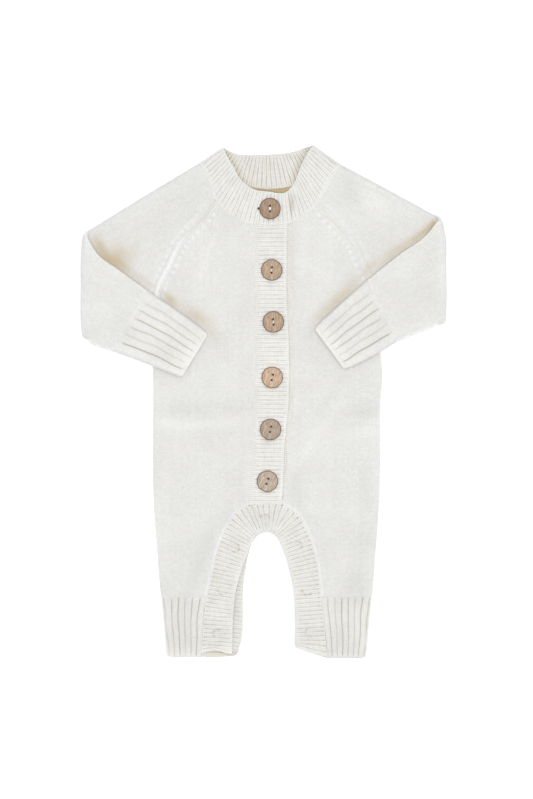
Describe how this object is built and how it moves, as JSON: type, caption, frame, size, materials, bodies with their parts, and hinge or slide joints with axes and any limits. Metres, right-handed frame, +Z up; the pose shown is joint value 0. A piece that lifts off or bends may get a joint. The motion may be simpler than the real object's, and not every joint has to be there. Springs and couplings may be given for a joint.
{
  "type": "baby romper",
  "caption": "Knitted long-sleeved baby romper laid flat, with a ribbed neckband, buttoned front placket and snapped inseam bands.",
  "frame": {"origin": "middle of the garment's bounding box, on the surface it lies on", "axes": "+X to the wearer's left, +Y from the hems to the neck, +Z up, away from the surface"},
  "size_m": [0.3433, 0.48, 0.0136],
  "materials": {
    "knit": "matt off-white plain knit",
    "rib": "matt off-white rib knit",
    "button": "satin, turned",
    "snap": "pressed, hidden between the bands"
  },
  "bodies": {
    "root": {"back_panel": "knit", "front_right_panel": "knit", "front_left_panel": "knit", "sleeve_right": "knit", "sleeve_left": "knit", "cuff_right": "rib", "cuff_left": "rib", "leg_cuff_right": "rib", "leg_cuff_left": "rib", "neckband": "rib", "placket_upper": "rib", "placket_lower": "rib", "inseam_band_front": "rib", "inseam_band_back": "rib", "button_1": "button", "button_2": "button", "button_3": "button", "button_4": "button", "button_5": "button", "button_6": "button", "snap_1": "snap", "snap_2": "snap", "snap_3": "snap", "snap_4": "snap", "snap_5": "snap", "snap_6": "snap", "snap_7": "snap"}
  },
  "joints": []
}
